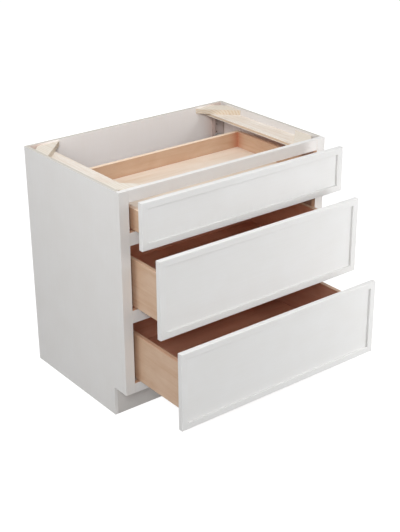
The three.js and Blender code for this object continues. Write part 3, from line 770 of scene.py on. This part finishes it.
def arc(centre, radius, start, end):
    """Points of an arc in a section, from one angle in degrees to another."""
    angles = [math.radians(start + (end - start) * i / ARC_STEPS) for i in range(ARC_STEPS + 1)]
    return [(centre[0] + radius * math.cos(a), centre[1] + radius * math.sin(a)) for a in angles]


def member_section():
    """Section of the front's frame as (in from the outer edge, behind the face), in one round."""
    points = arc((OUTER_RADIUS, OUTER_RADIUS), OUTER_RADIUS, 180, 270)
    points += arc((MEMBER_WIDTH - INNER_RADIUS, INNER_RADIUS), INNER_RADIUS, 270, 360)
    groove_floor = MEMBER_WIDTH - GROOVE_DEPTH
    points += [
        (MEMBER_WIDTH, PANEL_RECESS),
        (groove_floor, PANEL_RECESS),
        (groove_floor, PANEL_RECESS + GROOVE_WIDTH),
        (MEMBER_WIDTH, PANEL_RECESS + GROOVE_WIDTH),
    ]
    points += arc((MEMBER_WIDTH - BACK_EASE, MEMBER_THICKNESS - BACK_EASE), BACK_EASE, 0, 90)
    points += arc((BACK_EASE, MEMBER_THICKNESS - BACK_EASE), BACK_EASE, 90, 180)
    return points


def front_member(mesh, corners, inward, face, material_index):
    """One mitred member between two outer corners (x, z); inward points from it into the front."""
    section = member_section()
    start, end = (Vector((c[0], 0, c[1])) for c in corners)
    run = (end - start).normalized()
    rings = []
    for corner, along in ((start, 1), (end, -1)):
        ring = []
        for inset, depth in section:
            point = corner + inward * inset + run * along * (inset + MITRE_LINE)
            ring.append(mesh.verts.new((point.x, face + depth, point.z)))
        rings.append(ring)
    near, far = rings
    faces = [mesh.faces.new((near[i - 1], near[i], far[i], far[i - 1])) for i in range(len(section))]
    faces.append(mesh.faces.new(near[::-1]))
    faces.append(mesh.faces.new(far))
    for made in faces:
        made.material_index = material_index


def build_front(drawer):
    node = f"{drawer}_front_frame"
    low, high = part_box(node)
    mesh = bmesh.new()
    left, right, bottom, top = low.x, high.x, low.z, high.z
    members = [
        (((left, bottom), (right, bottom)), Vector((0, 0, 1)), 0),
        (((left, top), (right, top)), Vector((0, 0, -1)), 0),
        (((left, bottom), (left, top)), Vector((1, 0, 0)), 1),
        (((right, bottom), (right, top)), Vector((-1, 0, 0)), 1),
    ]
    for corners, inward, material_index in members:
        front_member(mesh, corners, inward, low.y, material_index)
    bmesh.ops.recalc_face_normals(mesh, faces=mesh.faces)
    piece = to_object(mesh, f"finished_{node}", [FRONT_PAINTS["X"], FRONT_PAINTS["Z"]])
    cut_from(piece, node)
    stand_for(piece, node)
    refine(f"{drawer}_front_panel", [FRONT_PAINTS["X"]], width=FINE_EASE)


# ---------------------------------------------------------------- drawer boxes

RIM_RADIUS = 1.6 * MM
RIM_FACING = 0.5


def at_rim(top):
    return lambda edge: all(abs(v.co.z - top) < WELD for v in edge.verts)


OUTER, INSIDE, RIM = range(3)
INWARD = {
    "left_side": Vector((1, 0, 0)),
    "right_side": Vector((-1, 0, 0)),
    "box_front": Vector((0, 1, 0)),
    "box_back": Vector((0, -1, 0)),
}


def box_finish(board, top):
    """Which of the outer, inside and rim timber a face of a box's board takes."""

    def choose(face):
        if face.normal.z > RIM_FACING and face.calc_center_median().z > top - RIM_RADIUS:
            return RIM
        return INSIDE if face.normal.dot(INWARD[board]) > FACING else OUTER

    return choose


# the insides take the painted-shade maples and the rims the painted-light ones
BOX_TIMBERS = {
    "top_drawer": (SHALLOWS, PANEL, RIMS),
    "middle_drawer": (INSIDES, INSIDES["X"], DEEP_RIMS),
    "bottom_drawer": (LOW_WALLS, LOW_FLOOR, DEEP_RIMS),
}
SHADED_RIMS = ("top_drawer_right_side", "bottom_drawer_left_side")  # boards whose rims are darker: painted shade, under a strip on the top drawer and under the middle front on the bottom one


def build_box(drawer):
    walls, floor, rims = BOX_TIMBERS[drawer]
    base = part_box(f"{drawer}_box_bottom")[1].z
    inner_ends = {
        "X": (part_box(f"{drawer}_left_side")[1].x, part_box(f"{drawer}_right_side")[0].x, base),
        "Y": (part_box(f"{drawer}_box_front")[1].y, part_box(f"{drawer}_box_back")[0].y, base),
    }
    for board, axis in (("left_side", "Y"), ("right_side", "Y"), ("box_front", "X"), ("box_back", "X")):
        node = f"{drawer}_{board}"
        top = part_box(node)[1].z
        rim = SHADED_RIM if node in SHADED_RIMS else rims[axis]
        timbers = [MAPLES[axis], walls[axis], rim]
        finish, rounding = box_finish(board, top), (RIM_RADIUS, at_rim(top))
        refine(node, timbers, finish, width=FINE_EASE, rounding=rounding, ends=inner_ends[axis])
    refine(f"{drawer}_box_bottom", [floor], width=PLY_EASE, ends=inner_ends["Y"])


# ---------------------------------------------------------------- runners and screws


def build_runners(drawer):
    for side in SIDES:
        for member in ("cabinet_runner", "middle_runner", "drawer_runner"):
            refine(f"{drawer}_{side}_{member}", [STEEL_SHEET], width=SHEET_EASE)


SCREW_SIDES = 24
SHANK_RADIUS = 2 * MM
SHANK_SHOWING = 1.2 * MM
FOOT_HEAD = (4 * MM, 1.9 * MM)  # radius and height of the head of each kind of screw
BRACKET_HEAD = (4 * MM, 2.4 * MM)
FRONT_HEAD = (4.5 * MM, 2.6 * MM)
HEAD_RINGS = ((1, 0), (1, 0.35), (0.93, 0.7), (0.74, 1))  # as shares of the head's radius and height
RECESS_ARM = 0.5  # cross recess: reach and half width of an arm, as shares of the head's radius
RECESS_HALF = 0.13
RECESS_SINK = 0.6  # depth of the recess, as a share of the head's height

RUNNER_SHEET = 1.5 * MM
FOOT_HOLE = 6 * MM  # behind the front end of a runner's foot
BRACKET_SHEET = 2 * MM
BRACKET_HOLE = 15 * MM  # in from the outer end of the bracket
BRACKET_HOLE_LEVELS = (7 * MM, 21 * MM)
FRONT_SCREW_INSET = 120 * MM
FRONT_SCREW_MARGIN = 30 * MM


def add_screw(mesh, seat, outward, radius, height):
    """A pan-head screw with a cross recess, its head standing on the seat."""
    turn = outward.to_track_quat("Z", "Y").to_matrix()

    def vertex(x, y, z):
        return mesh.verts.new(seat + turn @ Vector((x, y, z)))

    profile = [(SHANK_RADIUS, -SHANK_SHOWING), (SHANK_RADIUS, 0)]
    profile += [(wide * radius, high * height) for wide, high in HEAD_RINGS]
    angles = [math.tau * i / SCREW_SIDES for i in range(SCREW_SIDES)]
    rings = [[vertex(r * math.cos(a), r * math.sin(a), z) for a in angles] for r, z in profile]
    for lower, upper in zip(rings, rings[1:]):
        for i in range(SCREW_SIDES):
            j = (i + 1) % SCREW_SIDES
            mesh.faces.new((lower[i], lower[j], upper[j], upper[i]))
    mesh.faces.new(rings[0][::-1])
    arm, half = RECESS_ARM * radius, RECESS_HALF * radius
    quarter = [(arm, -half), (arm, half), (half, half)]
    outline = []
    for _ in range(4):
        outline += quarter
        quarter = [(-y, x) for x, y in quarter]
    brim = [vertex(x, y, height) for x, y in outline]
    sunk = [vertex(x, y, height * (1 - RECESS_SINK)) for x, y in outline]
    for i in range(len(outline)):
        j = (i + 1) % len(outline)
        mesh.faces.new((brim[i], brim[j], sunk[j], sunk[i]))
    mesh.faces.new(sunk)
    loops = [rings[-1], brim]
    edges = [mesh.edges.get((loop[i - 1], loop[i])) for loop in loops for i in range(len(loop))]
    bmesh.ops.triangle_fill(mesh, edges=edges, use_beauty=True)


def screws(name, body, places, radius, height):
    """One object for the screws of one kind. places are (seat, outward) pairs."""
    mesh = bmesh.new()
    for seat, outward in places:
        add_screw(mesh, seat, outward, radius, height)
    bmesh.ops.recalc_face_normals(mesh, faces=mesh.faces)
    piece = to_object(mesh, name, [STEEL_SCREW])
    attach(piece, body)


def build_screws():
    feet, brackets = [], []
    for drawer in DRAWERS:
        for side, sign in SIDES.items():
            low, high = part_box(f"{drawer}_{side}_cabinet_runner")
            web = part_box(f"{drawer}_{side}_middle_runner")
            middle = (web[0].x + web[1].x) / 2
            feet.append((Vector((middle, low.y + FOOT_HOLE, low.z + RUNNER_SHEET)), Vector((0, 0, 1))))
            outer = high.x if sign > 0 else low.x
            for level in BRACKET_HOLE_LEVELS:
                seat = Vector((outer - sign * BRACKET_HOLE, high.y - BRACKET_SHEET, low.z + level))
                brackets.append((seat, Vector((0, -1, 0))))
    screws("runner_foot_screws", "carcass", feet, *FOOT_HEAD)
    screws("runner_bracket_screws", "carcass", brackets, *BRACKET_HEAD)
    for drawer in DRAWERS:
        low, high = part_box(f"{drawer}_box_front")
        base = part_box(f"{drawer}_box_bottom")[1].z
        if drawer == DRAWERS[0]:
            levels = [(base + high.z) / 2]
        else:
            levels = [base + FRONT_SCREW_MARGIN, high.z - FRONT_SCREW_MARGIN]
        places = [
            (Vector((x, high.y, z)), Vector((0, 1, 0)))
            for x in (low.x + FRONT_SCREW_INSET, high.x - FRONT_SCREW_INSET)
            for z in levels
        ]
        screws(f"{drawer}_front_screws", BODY_OF[f"{drawer}_box_front"], places, *FRONT_HEAD)


# ---------------------------------------------------------------- studio

WORLD_LIGHT = 0.31  # the backdrop as a light
FLOOR_HALF = 30.0
FLOOR_DROP = 0.2 * MM  # keeps the floor clear of the cabinet's underside
FLOOR_GREY = 0.32  # what the floor gives back to the object
FLOOR_GLOW = 0.91  # what the camera sees on top of that, so that the open floor is white
LAMP_TARGET = (0.0, -0.45, 0.45)
LAMPS = [  # name, place, diameter, watts
    ("key", (-4.38, -5.32, 5.04), 2.0, 155.0),
    ("low_key", (-4.46, -6.16, 3.83), 2.0, 86.0),
    ("front_fill", (3.43, -5.73, 3.52), 2.0, 58.0),
    ("left_fill", (-2.1, -0.6, 1.9), 1.2, 13.6),
    ("right_fill", (1.5, -2.0, 0.35), 0.6, 12.0),
    ("overhead", (0.0, -0.25, 3.4), 2.0, 25.0),
    ("back_fill", (0.0, 6.5, 1.1), 2.0, 110.0),
]


def seen(tree):
    """1 for rays that the camera sees by, straight or by a mirror or glass, and 0 for those that light."""
    path = tree.nodes.new("ShaderNodeLightPath")
    result = path.outputs["Is Camera Ray"]
    for kind in ("Is Glossy Ray", "Is Transmission Ray"):
        larger = tree.nodes.new("ShaderNodeMath")
        larger.operation = "MAXIMUM"
        tree.links.new(result, larger.inputs[0])
        tree.links.new(path.outputs[kind], larger.inputs[1])
        result = larger.outputs[0]
    return result


def build_world():
    """White where it is seen, and dimmer as a light."""
    world = bpy.data.worlds.new("studio")
    bpy.context.scene.world = world
    world.use_nodes = True
    tree = world.node_tree
    background = tree.nodes["Background"]
    background.inputs["Color"].default_value = (1, 1, 1, 1)
    strength = tree.nodes.new("ShaderNodeMapRange")
    strength.inputs["To Min"].default_value = WORLD_LIGHT
    strength.inputs["To Max"].default_value = 1.0
    tree.links.new(seen(tree), strength.inputs["Value"])
    tree.links.new(strength.outputs[0], background.inputs["Strength"])


def build_floor():
    data = bpy.data.meshes.new("studio_floor")
    half = FLOOR_HALF
    corners = [(-half, -half, 0), (half, -half, 0), (half, half, 0), (-half, half, 0)]
    data.from_pydata(corners, [], [(0, 1, 2, 3)])
    floor = bpy.data.objects.new("studio_floor", data)
    floor.location.z = -FLOOR_DROP
    bpy.context.scene.collection.objects.link(floor)
    shader = Shader("studio_floor")
    tree = shader.tree
    tree.nodes.remove(shader.surface)
    matte = shader.node("BsdfDiffuse", {"Color": toned((FLOOR_GREY,) * 3)})
    strength = shader.math("MULTIPLY", seen(tree), FLOOR_GLOW)
    glow = shader.node("Emission", {"Color": (1, 1, 1, 1), "Strength": strength})
    both = shader.node("AddShader", {0: matte.outputs[0], 1: glow.outputs[0]})
    tree.links.new(both.outputs[0], tree.nodes["Material Output"].inputs["Surface"])
    data.materials.append(shader.material)


def build_lamps():
    for name, place, size, power in LAMPS:
        data = bpy.data.lights.new(name, "AREA")
        data.shape = "DISK"
        data.size = size
        data.energy = power
        lamp = bpy.data.objects.new(name, data)
        lamp.location = place
        lamp.rotation_mode = "QUATERNION"
        lamp.rotation_quaternion = (Vector(LAMP_TARGET) - Vector(place)).to_track_quat("-Z", "Y")
        bpy.context.scene.collection.objects.link(lamp)


# ---------------------------------------------------------------- camera

CAMERA_PLACE = (-2.3279, -3.4634, 2.18665)
CAMERA_YAW = 0.6569  # turned from +Y towards +X
CAMERA_DIP = 0.4325  # below the horizon
CAMERA_ROLL = -0.0074
FOCAL_PIXELS = 1126.8
PHOTO_LONG_SIDE = 532
SENSOR_MM = 36.0


def build_camera():
    yaw, dip = CAMERA_YAW, CAMERA_DIP
    ahead = Vector((math.sin(yaw) * math.cos(dip), math.cos(yaw) * math.cos(dip), -math.sin(dip)))
    level = Vector((math.cos(yaw), -math.sin(yaw), 0))
    upright = level.cross(ahead)
    right = math.cos(CAMERA_ROLL) * level + math.sin(CAMERA_ROLL) * upright
    up = right.cross(ahead)
    data = bpy.data.cameras.new("camera")
    data.sensor_width = SENSOR_MM
    data.lens = FOCAL_PIXELS * SENSOR_MM / PHOTO_LONG_SIDE
    camera = bpy.data.objects.new("camera", data)
    turn = Matrix((right, up, -ahead)).transposed()
    camera.matrix_world = Matrix.Translation(CAMERA_PLACE) @ turn.to_4x4()
    bpy.context.scene.collection.objects.link(camera)
    bpy.context.scene.camera = camera


# ---------------------------------------------------------------- all of it

build_camera()
build_world()
build_floor()
build_lamps()
build_carcass()
for drawer in DRAWERS:
    build_front(drawer)
    build_box(drawer)
    build_runners(drawer)
build_screws()
bpy.context.scene.view_settings.view_transform = "Standard"
